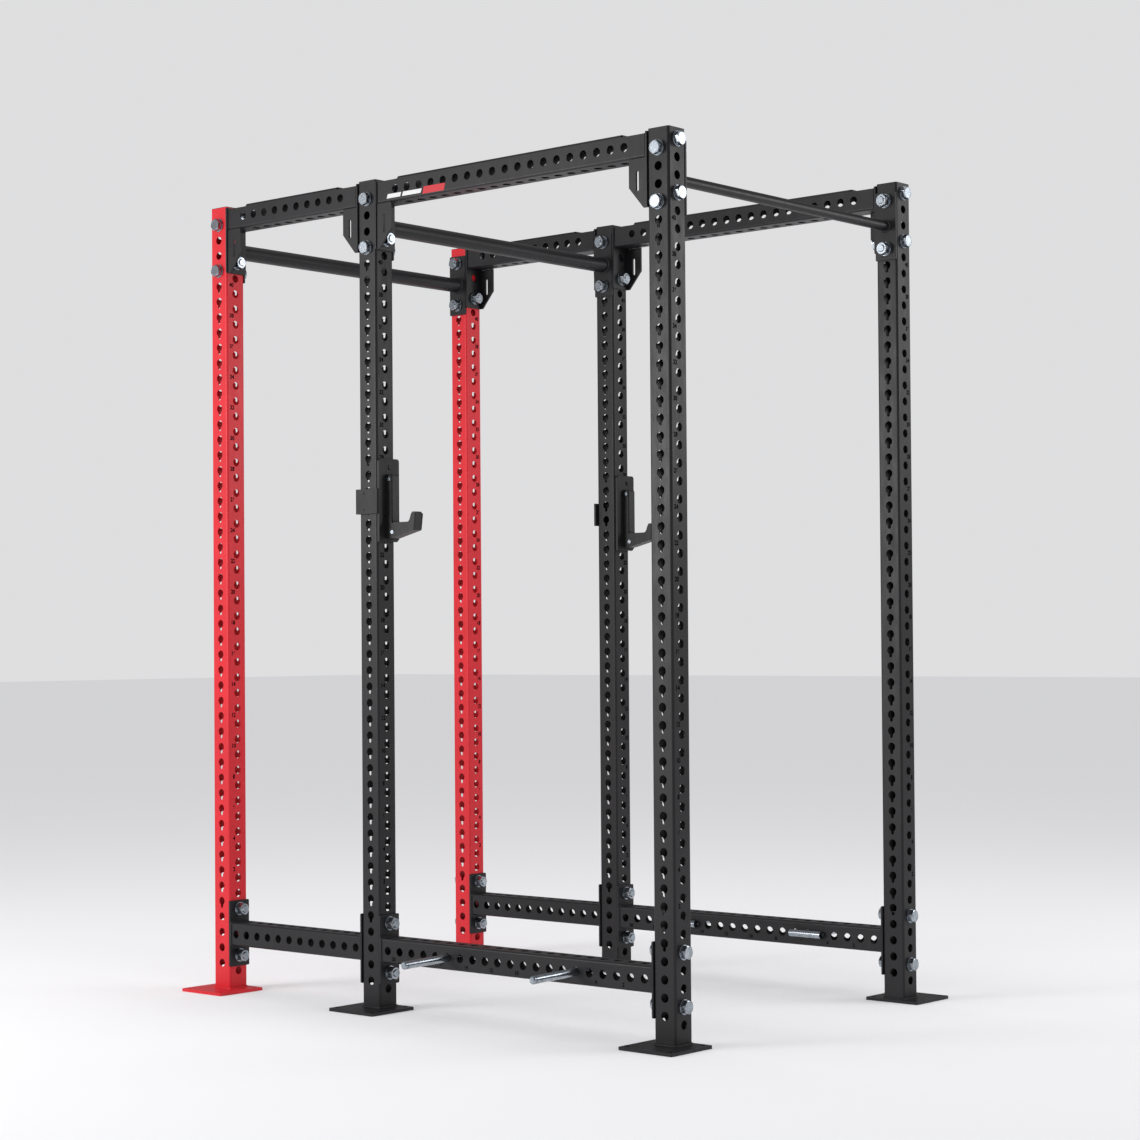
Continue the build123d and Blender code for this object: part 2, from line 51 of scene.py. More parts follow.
# ---- sizes that the frame's boxes don't state, in metres ----
WALL = 3.05 * MM
CORNER = 7.0 * MM
CORNER_STEPS = 12
HOLE_RADIUS = 13.1 * MM
HOLE_STEPS = 40
PITCH = 50.8 * MM
EDGE = 0.6 * MM             # the rounding that paint leaves on a cut edge
FACE_HOLES = 50
FACE_FIRST = 57.15 * MM
SIDE_HOLES = 49
KEY_FIRST, KEY_LAST = 5, 45
KEY_HALF_WIDTH = 5.5 * MM
KEY_DROP = 17.5 * MM
BOTTOM_HOLES = {"front": 21, "rear": 12}
TOP_HOLES = {"front": 19, "rear": 10}
NOTCH_DEPTH = 8.0 * MM
NOTCH_LENGTH = 90.0 * MM


def span(node):
    """A node's lowest and highest corners as vectors."""
    low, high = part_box(node)
    return Vector(low), Vector(high)


def centre(node):
    low, high = span(node)
    return (low + high) / 2


UPRIGHTS = {(row, side): span(f"upright_{row}_{side}") for row in ROWS for side in SIDES}
TUBE = UPRIGHTS["front", "left"][1].x - UPRIGHTS["front", "left"][0].x
FOOT_TOP = UPRIGHTS["front", "left"][0].z
BEAM_FLANGE = Vector((84.0, 6.35, 215.9)) * MM
FLANGE_TOP_MARGIN = 28.0 * MM


# ======================================================================================
# Materials
# ======================================================================================
def new_material(name):
    material = bpy.data.materials.new(name)
    material.use_nodes = True
    nodes = material.node_tree.nodes
    nodes.clear()
    output = nodes.new("ShaderNodeOutputMaterial")
    shader = nodes.new("ShaderNodeBsdfPrincipled")
    material.node_tree.links.new(shader.outputs["BSDF"], output.inputs["Surface"])
    return material, shader


def noise(material, scale, detail=2.0, roughness=0.5, stretch=None):
    """A noise texture on the object's own coordinates, in waves per metre."""
    nodes, links = material.node_tree.nodes, material.node_tree.links
    place = nodes.new("ShaderNodeTexCoord")
    texture = nodes.new("ShaderNodeTexNoise")
    texture.inputs["Scale"].default_value = scale
    texture.inputs["Detail"].default_value = detail
    texture.inputs["Roughness"].default_value = roughness
    if stretch is None:
        links.new(place.outputs["Object"], texture.inputs["Vector"])
    else:
        mapping = nodes.new("ShaderNodeMapping")
        mapping.inputs["Scale"].default_value = stretch
        links.new(place.outputs["Object"], mapping.inputs["Vector"])
        links.new(mapping.outputs["Vector"], texture.inputs["Vector"])
    return texture.outputs["Fac"]


def ramp(material, source, low, high, from_low=0.3, from_high=0.7):
    """Map a 0 to 1 value to another range, clamped."""
    node = material.node_tree.nodes.new("ShaderNodeMapRange")
    node.inputs["From Min"].default_value = from_low
    node.inputs["From Max"].default_value = from_high
    node.inputs["To Min"].default_value = low
    node.inputs["To Max"].default_value = high
    material.node_tree.links.new(source, node.inputs["Value"])
    return node.outputs["Result"]


def mix(material, factor, first, second):
    """A colour between two colours or colour outputs."""
    node = material.node_tree.nodes.new("ShaderNodeMix")
    node.data_type = "RGBA"
    links = material.node_tree.links
    links.new(factor, node.inputs["Factor"])
    for colour, socket in ((first, node.inputs[6]), (second, node.inputs[7])):
        if isinstance(colour, tuple):
            socket.default_value = (*colour, 1.0)
        else:
            links.new(colour, socket)
    return node.outputs[2]


def bump(material, shader, layers):
    """Chain bump nodes: each layer is (height, strength, distance in metres)."""
    links = material.node_tree.links
    last = None
    for height, strength, distance in layers:
        node = material.node_tree.nodes.new("ShaderNodeBump")
        node.inputs["Strength"].default_value = strength
        node.inputs["Distance"].default_value = distance
        links.new(height, node.inputs["Height"])
        if last is not None:
            links.new(last, node.inputs["Normal"])
        last = node.outputs["Normal"]
    links.new(last, shader.inputs["Normal"])


def powder_coat(name, colour, worn, smooth, rough, sparkle):
    """Baked powder paint: an orange-peel skin, faint cloudiness and a little handling dust."""
    material, shader = new_material(name)
    cloud = noise(material, 5.0, 4.0, 0.6)
    grain = noise(material, 900.0, 3.0, 0.6)
    peel = noise(material, 260.0, 2.0, 0.5)
    rub = noise(material, 38.0, 6.0, 0.7, stretch=(1.0, 1.0, 0.25))
    base = mix(material, ramp(material, cloud, 0.0, 1.0), colour, tuple(c * 1.18 for c in colour))
    speck = mix(material, ramp(material, grain, 0.0, sparkle, 0.62, 0.8), base, worn)
    dusty = mix(material, ramp(material, rub, 0.0, 0.16, 0.6, 0.82), speck, worn)
    material.node_tree.links.new(dusty, shader.inputs["Base Color"])
    gloss = ramp(material, rub, smooth, rough, 0.35, 0.75)
    material.node_tree.links.new(gloss, shader.inputs["Roughness"])
    shader.inputs["Specular IOR Level"].default_value = 0.36
    bump(material, shader, [(peel, 0.16, 0.0004), (grain, 0.22, 0.00015)])
    return material


def plating(name, light, dark, smooth, rough):
    """Bright zinc: a cool metal with cloudy passivation and fine turning marks."""
    material, shader = new_material(name)
    cloud = noise(material, 45.0, 5.0, 0.65)
    stain = noise(material, 160.0, 3.0, 0.6)
    lines = noise(material, 1500.0, 2.0, 0.5, stretch=(0.15, 1.0, 1.0))
    base = mix(material, ramp(material, cloud, 0.0, 1.0, 0.35, 0.65), light, dark)
    tint = mix(material, ramp(material, stain, 0.0, 0.35, 0.55, 0.75), base, (0.52, 0.60, 0.62))
    material.node_tree.links.new(tint, shader.inputs["Base Color"])
    shader.inputs["Metallic"].default_value = 1.0
    gloss = ramp(material, cloud, smooth, rough, 0.3, 0.7)
    material.node_tree.links.new(gloss, shader.inputs["Roughness"])
    bump(material, shader, [(stain, 0.10, 0.0002), (lines, 0.12, 0.00008)])
    return material


def plastic(name, colour, pale, roughness, grain_scale):
    """Machined or moulded black plastic with a fine grain and pale rub marks."""
    material, shader = new_material(name)
    grain = noise(material, grain_scale, 3.0, 0.6)
    scuff = noise(material, 60.0, 8.0, 0.75, stretch=(1.0, 0.3, 1.0))
    base = mix(material, ramp(material, scuff, 0.0, 0.3, 0.58, 0.8), colour, pale)
    material.node_tree.links.new(base, shader.inputs["Base Color"])
    gloss = ramp(material, scuff, roughness - 0.06, roughness + 0.1, 0.35, 0.7)
    material.node_tree.links.new(gloss, shader.inputs["Roughness"])
    bump(material, shader, [(grain, 0.2, 0.00012)])
    return material


def print_ink(name, colour, roughness, specular=0.4):
    """Printed vinyl lettering, and a deep black painted shade for cut-out numbers and letters, with a
    slightly uneven surface.
    """
    material, shader = new_material(name)
    shader.inputs["Specular IOR Level"].default_value = specular
    mottle = noise(material, 400.0, 3.0, 0.6)
    base = mix(material, ramp(material, mottle, 0.0, 1.0), colour, tuple(c * 0.82 for c in colour))
    material.node_tree.links.new(base, shader.inputs["Base Color"])
    shader.inputs["Roughness"].default_value = roughness
    bump(material, shader, [(mottle, 0.1, 0.00005)])
    return material


BLACK_COAT = powder_coat(
    "black_powder_coat", (0.0100, 0.0096, 0.0112), (0.06, 0.06, 0.065), 0.38, 0.50, 0.20)
HOOK_COAT = powder_coat(
    "hook_powder_coat", (0.0085, 0.0085, 0.0090), (0.06, 0.06, 0.062), 0.42, 0.55, 0.25)
RED_COAT = powder_coat("red_powder_coat", (0.60, 0.012, 0.022), (0.70, 0.05, 0.05), 0.34, 0.46, 0.10)
ZINC = plating("bright_zinc", (0.46, 0.50, 0.54), (0.28, 0.31, 0.35), 0.20, 0.34)
LINER = plastic("wear_plastic", (0.012, 0.012, 0.013), (0.08, 0.08, 0.085), 0.46, 700.0)
CAP = plastic("cap_plastic", (0.02, 0.02, 0.021), (0.07, 0.07, 0.07), 0.55, 1100.0)
# Painted shade: a deep black with almost no sheen, standing for the dark inside of the tubes seen through
# their cut-out numbers and for the shade in the hook letters' engraving.
CUT_SHADE = print_ink("cut_number_painted_shade", (0.0010, 0.0010, 0.0012), 0.9, specular=0.05)
INK_WHITE = print_ink("label_white", (0.80, 0.80, 0.80), 0.45)
INK_RED = print_ink("label_red", (0.62, 0.02, 0.03), 0.45)
WELD = powder_coat("weld_bead_coat", (0.015, 0.0145, 0.016), (0.09, 0.09, 0.095), 0.34, 0.46, 0.2)
WELD_RED = powder_coat("weld_bead_red", (0.55, 0.010, 0.016), (0.70, 0.06, 0.06), 0.28, 0.40, 0.1)


def paint(node, material):
    """Give a CAD node its finished material."""
    obj = bpy.data.objects[node]
    obj.data.materials.clear()
    obj.data.materials.append(material)
    return obj


# ======================================================================================
# Mesh building
# ======================================================================================
class Shape:
    """Collects faces into one mesh; curved patches are smooth and flat ones stay flat."""

    def __init__(self):
        self.points = []
        self.faces = []
        self.smooth = []

    def add(self, points, faces, smooth):
        start = len(self.points)
        self.points.extend(points)
        self.faces.extend(tuple(start + index for index in face) for face in faces)
        self.smooth.extend([smooth] * len(faces))

    def band(self, first, second, smooth=True, closed=True):
        """Quads between two rows of points with the same count."""
        count = len(first)
        last = count if closed else count - 1
        faces = [(n, (n + 1) % count, count + (n + 1) % count, count + n) for n in range(last)]
        self.add(list(first) + list(second), faces, smooth)

    def piece(self, name, material, body="cage", slot=None, stands_for=()):
        mesh = bpy.data.meshes.new(name)
        mesh.from_pydata([tuple(point) for point in self.points], [], self.faces)
        mesh.polygons.foreach_set("use_smooth", self.smooth)
        mesh.materials.append(material)
        mesh.validate()
        mesh.update()
        obj = bpy.data.objects.new(name, mesh)
        bpy.context.scene.collection.objects.link(obj)
        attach(obj, body)
        if stands_for:
            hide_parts(*stands_for)
        return obj


def circle(u, v, radius, steps=HOLE_STEPS):
    """Points of a circle, anticlockwise."""
    turns = [2 * pi * n / steps for n in range(steps)]
    return [(u + radius * cos(t), v + radius * sin(t)) for t in turns]


def keyhole(u, v, grow):
    """A round hole with a narrower slot that runs down from it, anticlockwise."""
    radius, half = HOLE_RADIUS + grow, KEY_HALF_WIDTH + grow
    gap = atan2(half, sqrt(radius * radius - half * half))
    start, sweep = -pi / 2 + gap, 2 * pi - 2 * gap
    arc = [start + sweep * n / HOLE_STEPS for n in range(HOLE_STEPS + 1)]
    points = [(u + radius * cos(t), v + radius * sin(t)) for t in arc]
    slot_steps = 12
    ends = [pi + pi * n / slot_steps for n in range(slot_steps + 1)]
    return points + [(u + half * cos(t), v - KEY_DROP + half * sin(t)) for t in ends]


def obround(u, v, length, width, grow=0.0, steps=12):
    """A slot whose long side runs along v, anticlockwise."""
    radius, reach = width / 2 + grow, (length - width) / 2
    top = [pi * n / steps for n in range(steps + 1)]
    points = [(u + radius * cos(t), v + reach + radius * sin(t)) for t in top]
    return points + [(u - radius * cos(t), v - reach - radius * sin(t)) for t in top]


def plate(shape, outline, holes, place, thickness, edge=EDGE):
    """A cut plate. outline and holes take a growth and give points; place maps (u, v, depth).

    Depth 0 is the outer face. The outer face's edges and its holes' edges are eased by edge.
    """
    for depth, back in ((0.0, False), (thickness, True)):
        ease = 0.0 if back else edge
        loops = [outline(-ease)] + [hole(ease) for hole in holes]
        flat = [point for loop in loops for point in loop]
        triangles = tessellate_polygon([[Vector((u, v, 0)) for u, v in loop] for loop in loops])
        faces = [tuple(reversed(face)) if back else tuple(face) for face in triangles]
        shape.add([place(u, v, depth) for u, v in flat], faces, False)
    for loop, grow_sign, curved in [(outline, -1, False)] + [(hole, 1, True) for hole in holes]:
        eased = [place(u, v, 0.0) for u, v in loop(grow_sign * edge)]
        upper = [place(u, v, edge) for u, v in loop(0.0)]
        lower = [place(u, v, thickness) for u, v in loop(0.0)]
        shape.band(eased, upper, curved)
        shape.band(upper, lower, curved)


def rectangle(u0, u1, v0, v1):
    """An outline function for a plain rectangle."""
    def outline(grow):
        left, right, bottom, top = u0 - grow, u1 + grow, v0 - grow, v1 + grow
        return [(left, bottom), (right, bottom), (right, top), (left, top)]
    return outline


def rounded_rectangle(width, height, radius, steps=6):
    """An outline function for a rectangle with round corners, centred on the origin."""
    def outline(grow):
        half_u, half_v, r = width / 2 + grow, height / 2 + grow, radius + grow
        points = []
        for corner, (su, sv) in enumerate(((1, 1), (-1, 1), (-1, -1), (1, -1))):
            for n in range(steps + 1):
                t = corner * pi / 2 + n * pi / 2 / steps
                points.append((su * (half_u - r) + r * cos(t), sv * (half_v - r) + r * sin(t)))
        return points
    return outline


def round_hole(u, v, radius=HOLE_RADIUS):
    return lambda grow: circle(u, v, radius + grow)


def key_hole(u, v):
    return lambda grow: keyhole(u, v, grow)


def tube(shape, middle, along, side, up, length, side_holes, up_holes, notch=False):
    """A square tube. along runs its length, side and up are its two face normals.

    side_holes pierce the two faces whose normals are +/-side, up_holes the other two.
    Hole functions use (across, along) coordinates measured from the tube's middle.
    """
    half, flat = TUBE / 2, TUBE / 2 - CORNER
    step_start = length / 2 - NOTCH_LENGTH
    step_end = step_start + NOTCH_DEPTH

    def face(normal, across, holes, outline):
        def place(u, v, depth):
            return middle + normal * (half - depth) + across * u + along * v
        plate(shape, outline, holes, place, WALL, edge=0.0)
        for hole in holes:
            rim = [place(u, v, 0.0) for u, v in hole(EDGE)]
            inner = [place(u, v, EDGE) for u, v in hole(0.0)]
            shape.band(rim, inner)

    full = rectangle(-flat, flat, -length / 2, length / 2)
    top = rectangle(-flat, flat, -step_start, step_start)
    cut = half - NOTCH_DEPTH

    def notched(grow):
        points = [(-flat, -length / 2), (cut, -length / 2), (cut, -step_end), (flat, -step_start)]
        return points + [(u, -v) for u, v in reversed(points)]

    for sign in (1, -1):
        face(side * sign, up, side_holes, notched if notch else full)
        face(up * sign, side, up_holes, top if notch and sign > 0 else full)
    for turn_side in (1, -1):
        for turn_up in (1, -1):
            reach = step_start if notch and turn_up > 0 else length / 2
            core = middle + side * turn_side * flat + up * turn_up * flat
            for radius in (CORNER, CORNER - WALL):
                ring = [n * pi / 2 / CORNER_STEPS for n in range(CORNER_STEPS + 1)]
                out, over = side * turn_side * radius, up * turn_up * radius
                offsets = [out * cos(t) + over * sin(t) for t in ring]
                ends = [[core + offset + along * end for offset in offsets] for end in (-reach, reach)]
                shape.band(ends[0], ends[1], True, closed=False)


# ======================================================================================
# Uprights and beams
# ======================================================================================
def upright_holes(length):
    """Hole functions for an upright's side faces and for its front and back faces."""
    low = -length / 2 + FACE_FIRST
    faces = [round_hole(0, low + n * PITCH) for n in range(FACE_HOLES)]
    sides = []
    for n in range(SIDE_HOLES):
        height = low + (n + 0.5) * PITCH
        is_key = KEY_FIRST <= n + 1 <= KEY_LAST
        sides.append(key_hole(0, height) if is_key else round_hole(0, height))
    return sides, faces


for (row, side), (low, high) in UPRIGHTS.items():
    node = f"upright_{row}_{side}"
    length = high.z - low.z
    sides, faces = upright_holes(length)
    shape = Shape()
    tube(shape, (low + high) / 2, Z, X, Y, length, sides, faces)
    red = row == "rear"
    shape.piece(
        f"post_{row}_{side}", RED_COAT if red else BLACK_COAT,
        slot="rear_red" if red else "frame_black", stands_for=[node],
    )

for level, counts in (("bottom", BOTTOM_HOLES), ("top", TOP_HOLES)):
    for bay, count in counts.items():
        for side in SIDES:
            node = f"{level}_beam_{bay}_{side}"
            low, high = span(node)
            side_row = [round_hole(0, (n - (count - 1) / 2) * PITCH) for n in range(count)]
            up_row = [round_hole(0, (n - (count - 2) / 2) * PITCH) for n in range(count - 1)]
            shape = Shape()
            tube(shape, (low + high) / 2, Y, X, Z, high.y - low.y, side_row, up_row, notch=level == "top")
            shape.piece(f"{level}_rail_{bay}_{side}", BLACK_COAT, slot="frame_black", stands_for=[node])

# ======================================================================================
# Flanges, bar plates and gussets
# ======================================================================================
BOLT_STEP = 1.5 * PITCH


def bolt_plate(shape, middle, normal, across, width, height, thickness):
    """A flange with three holes; normal points away from the upright."""
    upper = height / 2 - FLANGE_TOP_MARGIN
    holes = [round_hole(0, upper - n * BOLT_STEP) for n in range(3)]

    def place(u, v, depth):
        return middle + normal * (thickness / 2 - depth) + across * u + Z * v
    plate(shape, rounded_rectangle(width, height, 4 * MM), holes, place, thickness, edge=0.8 * MM)


# Each beam end as (y of the upright's face, direction in which the beam leaves it).
BEAM_ENDS = []
for near, far in BAYS.values():
    BEAM_ENDS.append((UPRIGHTS[near, "left"][1].y, 1))
    BEAM_ENDS.append((UPRIGHTS[far, "left"][0].y, -1))

for level in ("bottom", "top"):
    for side in SIDES:
        node = f"{level}_flanges_{side}"
        middle = centre(node)
        shape = Shape()
        for face_y, facing in BEAM_ENDS:
            spot = Vector((middle.x, face_y + facing * BEAM_FLANGE.y / 2, middle.z))
            bolt_plate(shape, spot, Y * facing, X, BEAM_FLANGE.x, BEAM_FLANGE.z, BEAM_FLANGE.y)
        shape.piece(f"{level}_end_plates_{side}", BLACK_COAT, slot="frame_black", stands_for=[node])

BAR_PLATE_WIDTH = 76.0 * MM
for row in ROWS:
    node = f"pull_up_plates_{row}"
    low, high = span(node)
    shape = Shape()
    for sign in (-1, 1):
        reach = high.x - BEAM_FLANGE.y / 2
        spot = Vector((sign * reach, (low.y + high.y) / 2, (low.z + high.z) / 2))
        bolt_plate(shape, spot, X * -sign, Y, BAR_PLATE_WIDTH, high.z - low.z, BEAM_FLANGE.y)
    shape.piece(f"bar_plates_{row}", BLACK_COAT, slot="frame_black", stands_for=[node])

GUSSET_REACH = 68.3 * MM
GUSSET_EDGE = 81.2 * MM
GUSSET_FOOT = 16.0 * MM
GUSSET_SLOT_DROP = 64.0 * MM
GUSSET_SLOT_LENGTH = 58.0 * MM
GUSSET_SLOT_WIDTH = 10.0 * MM
for side in SIDES:
    node = f"top_gussets_{side}"
    low, high = span(node)
    outward = -1 if side == "left" else 1
    outer_x = low.x if side == "left" else high.x
    shape = Shape()
    for face_y, facing in BEAM_ENDS:
        corners = [
            (BEAM_FLANGE.y, low.z), (GUSSET_FOOT, low.z), (GUSSET_REACH, high.z - GUSSET_EDGE),
            (GUSSET_REACH, high.z), (BEAM_FLANGE.y, high.z),
        ]
        middle_u = (GUSSET_REACH + BEAM_FLANGE.y) / 2

        def place(u, v, depth, face_y=face_y, facing=facing):
            return Vector((outer_x - outward * depth, face_y + facing * u, v))

        def slot_hole(grow, middle_u=middle_u):
            slot_z = high.z - GUSSET_SLOT_DROP
            return obround(middle_u, slot_z, GUSSET_SLOT_LENGTH, GUSSET_SLOT_WIDTH, grow)
        plate(shape, lambda grow: corners, [slot_hole], place, high.x - low.x, edge=0.0)
    shape.piece(f"gussets_{side}", BLACK_COAT, slot="frame_black", stands_for=[node])

# ======================================================================================
# Pull-up bars and weld beads
# ======================================================================================
def lathe(shape, origin, axis, profile, steps=48, smooth=True, closed_ends=False):
    """Turn a profile of (distance along the axis, radius) about the axis."""
    first = axis.orthogonal().normalized()
    second = axis.cross(first)
    turns = [2 * pi * n / steps for n in range(steps)]
    rings = [
        [origin + axis * along + first * radius * cos(t) + second * radius * sin(t) for t in turns]
        for along, radius in profile
    ]
    for near, far in zip(rings, rings[1:]):
        shape.band(near, far, smooth)
    if closed_ends:
        shape.add(rings[0], [tuple(reversed(range(steps)))], False)
        shape.add(rings[-1], [tuple(range(steps))], False)


def bead(shape, path, normals, rise, radius, ripple):
    """A rippled weld bead along a closed path. normals point away from the wall it lies on."""
    steps = 7
    rings = []
    for n, (point, normal) in enumerate(zip(path, normals)):
        swell = radius * (1 + ripple * cos(2 * pi * n / 3.0))
        ring = []
        for k in range(steps):
            t = pi / 2 * k / (steps - 1)
            ring.append(point + normal * swell * cos(t) + rise * swell * sin(t))
        rings.append(ring)
    for near, far in zip(rings, rings[1:] + rings[:1]):
        shape.band(near, far, True, closed=False)


BAR_WELD = 5.0 * MM
BAR_BEAD_GAP = 1.3 * MM
for row in ROWS:
    node = f"pull_up_bar_{row}"
    low, high = span(node)
    radius = (high.z - low.z) / 2
    middle = (low + high) / 2
    reach = (high.x - low.x) / 2
    shape = Shape()
    lathe(shape, middle, X, [(-reach, radius), (reach, radius)], steps=96)
    shape.piece(f"grip_bar_{row}", BLACK_COAT, slot="frame_black", stands_for=[node])
    beads = Shape()
    count = ceil(2 * pi * radius / BAR_BEAD_GAP / 3) * 3
    for sign in (-1, 1):
        turns = [2 * pi * n / count for n in range(count)]
        normals = [Y * cos(t) + Z * sin(t) for t in turns]
        path = [middle + X * sign * reach + normal * radius for normal in normals]
        bead(beads, path, normals, X * -sign, BAR_WELD, ripple=0.10)
    beads.piece(f"bar_welds_{row}", WELD, slot="frame_black")


def square_path(middle, across, up, half, radius, gap):
    """Points and outward normals around a rounded square, about one gap apart."""
    flat = half - radius
    path, normals = [], []
    for turn in range(4):
        start = turn * pi / 2
        out = across * cos(start) + up * sin(start)
        along = -across * sin(start) + up * cos(start)
        count = max(2, ceil(2 * flat / gap / 3) * 3)
        for n in range(count):
            path.append(middle + out * half + along * (-flat + 2 * flat * n / count))
            normals.append(out)
        arc = 6
        for n in range(arc):
            t = start + pi / 2 * n / arc
            normal = across * cos(t) + up * sin(t)
            path.append(middle + out * flat + along * flat + normal * radius)
            normals.append(normal)
    return path, normals


BEAD_GAP = 1.4 * MM         # from one ring of a bead to the next, three rings to a ripple
FOOT_WELD = 4.6 * MM
BEAM_WELD = 3.6 * MM
for (row, side), (low, high) in UPRIGHTS.items():
    red = row == "rear"
    base = Vector(((low.x + high.x) / 2, (low.y + high.y) / 2, FOOT_TOP))
    shape = Shape()
    path, normals = square_path(base, X, Y, TUBE / 2, CORNER, BEAD_GAP)
    bead(shape, path, normals, Z, FOOT_WELD, ripple=0.09)
    shape.piece(
        f"foot_weld_{row}_{side}", WELD_RED if red else WELD,
        slot="rear_red" if red else "frame_black",
    )

for level in ("bottom", "top"):
    for side in SIDES:
        shape = Shape()
        for bay in BAYS:
            low, high = span(f"{level}_beam_{bay}_{side}")
            middle = (low + high) / 2
            for end_y, inward in ((low.y, 1), (high.y, -1)):
                end = Vector((middle.x, end_y, middle.z))
                path, normals = square_path(end, X, Z, TUBE / 2, CORNER, BEAD_GAP)
                if level == "top":
                    limit = high.z - NOTCH_DEPTH
                    kept = [(p, n) for p, n in zip(path, normals) if p.z < limit]
                    start = max(range(len(kept)), key=lambda k: (kept[k][0] - kept[k - 1][0]).length)
                    kept = kept[start:] + kept[:start]
                    path, normals = [p for p, n in kept], [n for p, n in kept]
                    rings_path, rings_normals = path + path[::-1], normals + normals[::-1]
                    bead(shape, rings_path, rings_normals, Y * inward, BEAM_WELD, ripple=0.0)
                else:
                    bead(shape, path, normals, Y * inward, BEAM_WELD, ripple=0.10)
        shape.piece(f"{level}_beam_welds_{side}", WELD, slot="frame_black")

# ======================================================================================
# Fasteners
# ======================================================================================
HEX_FLATS = 36.0 * MM
HEAD_HEIGHT = 15.0 * MM
NUT_HEIGHT = 21.5 * MM
WASHER_RADIUS = 22.0 * MM
WASHER_THICKNESS = 4.0 * MM
WASHER_EASE = 0.5 * MM
WASHER_CLEARANCE = 0.4 * MM
BOLT_RADIUS = 12.0 * MM
BOLT_TAIL = 4.0 * MM
THREAD_PITCH = 3.0 * MM
THREAD_DEPTH = 1.3 * MM
HEX_STEPS = 72
HEX_CORNER = HEX_FLATS * 0.572      # from the centre to a broken corner
HEX_CROWN = HEX_FLATS * 0.475       # radius of the flat round face inside the chamfer
DISH_DEPTH = 0.5 * MM       # the shallow dish in a bolt head's face
NUT_MOUTH = 1.6 * MM        # the chamfer at a nut's bore
HEAD_COLLAR = 0.8 * MM      # the round bearing face under a bolt's head
COLLAR_RADIUS = HEX_FLATS * 0.47
THREAD_LEAD = 6.0 * MM      # how far the thread starts before the end of the grip


def hex_radius(turn):
    """Distance from a hexagon's centre to its edge, the corners slightly broken."""
    return min(HEX_FLATS / 2 / cos((turn % (pi / 3)) - pi / 6), HEX_CORNER)


def hexagon(shape, origin, axis, height, both_ends, bore=None):
    """A hexagonal prism along the axis with the turned chamfer of a real bolt head or nut."""
    first = axis.orthogonal().normalized()
    second = axis.cross(first)
    turns = [2 * pi * n / HEX_STEPS for n in range(HEX_STEPS)]
    slope = tan(radians(30))

    def ring(radius_at, along_at):
        return [
            origin + axis * along_at(t) + (first * cos(t) + second * sin(t)) * radius_at(t) for t in turns
        ]

    def drop(t):
        return max(0.0, hex_radius(t) - HEX_CROWN) * slope

    top_edge = ring(hex_radius, lambda t: height - drop(t))
    top_face = ring(lambda t: HEX_CROWN, lambda t: height)
    bottom_edge = ring(hex_radius, (lambda t: drop(t)) if both_ends else (lambda t: 0.0))
    bottom_face = ring(lambda t: HEX_CROWN, lambda t: 0.0)
    shape.band(bottom_edge, top_edge, False)
    shape.band(top_edge, top_face)
    shape.band(bottom_face, bottom_edge)
    if bore is None:
        dish = ring(lambda t: HEX_CROWN * 0.93, lambda t: height)
        floor = ring(lambda t: HEX_CROWN * 0.90, lambda t: height - DISH_DEPTH)
        shape.band(top_face, dish, False)
        shape.band(dish, floor)
        shape.add(floor, [tuple(range(HEX_STEPS))], False)
    else:
        lip = ring(lambda t: bore + NUT_MOUTH, lambda t: height)
        throat = ring(lambda t: bore, lambda t: height - NUT_MOUTH)
        shape.band(top_face, lip, False)
        shape.band(lip, throat)


def bolt(shape, head, axis, grip):
    """A hexagon bolt: its head bears at head, and its thread starts near the far end."""
    lathe(shape, head, -axis, [(0, COLLAR_RADIUS), (HEAD_COLLAR, COLLAR_RADIUS)])
    hexagon(shape, head - axis * HEAD_COLLAR, -axis, HEAD_HEIGHT - HEAD_COLLAR, False)
    end = grip + NUT_HEIGHT + BOLT_TAIL
    along = grip - THREAD_LEAD
    profile = [(0, BOLT_RADIUS), (along, BOLT_RADIUS)]
    while along < end - 1.5 * THREAD_PITCH:
        profile.append((along + THREAD_PITCH / 2, BOLT_RADIUS - THREAD_DEPTH))
        profile.append((along + THREAD_PITCH, BOLT_RADIUS))
        along += THREAD_PITCH
    profile.append((end, BOLT_RADIUS - 2 * MM))
    lathe(shape, head, axis, profile, smooth=False, closed_ends=True)


def washer(shape, origin, axis):
    """A flat washer with eased edges that starts at origin and thickens along the axis."""
    bore, rim = BOLT_RADIUS + WASHER_CLEARANCE, WASHER_RADIUS - WASHER_EASE
    lathe(shape, origin, axis, [
        (0, bore), (0, rim), (WASHER_EASE, WASHER_RADIUS),
        (WASHER_THICKNESS - WASHER_EASE, WASHER_RADIUS), (WASHER_THICKNESS, rim),
        (WASHER_THICKNESS, bore),
    ], smooth=False)


FACE_BOLTS = {"bottom": (2, 5), "top": (47, 50)}
BAR_BOLTS = (46, 49)
FLANGE = BEAM_FLANGE.y


def face_z(number):
    """Height of a hole in the uprights' front and back faces."""
    return FOOT_TOP + FACE_FIRST + (number - 1) * PITCH


clamps = {"end": [], "middle": [], "cross": []}
for side in SIDES:
    for number in FACE_BOLTS["bottom"] + FACE_BOLTS["top"]:
        for row, direction, kind in (("front", Y, "end"), ("middle", -Y, "middle"), ("rear", -Y, "end")):
            low, high = UPRIGHTS[row, side]
            plates_outside = FLANGE if row == "middle" else 0.0
            face = low.y if direction.y > 0 else high.y + plates_outside
            grip = TUBE + FLANGE + plates_outside
            clamps[kind].append((Vector(((low.x + high.x) / 2, face, face_z(number))), direction, grip))
    for row in ROWS:
        low, high = UPRIGHTS[row, side]
        outward = X if side == "right" else -X
        face = high.x if side == "right" else low.x
        for number in BAR_BOLTS:
            head = Vector((face, (low.y + high.y) / 2, face_z(number) + PITCH / 2))
            clamps["cross"].append((head, -outward, TUBE + FLANGE))

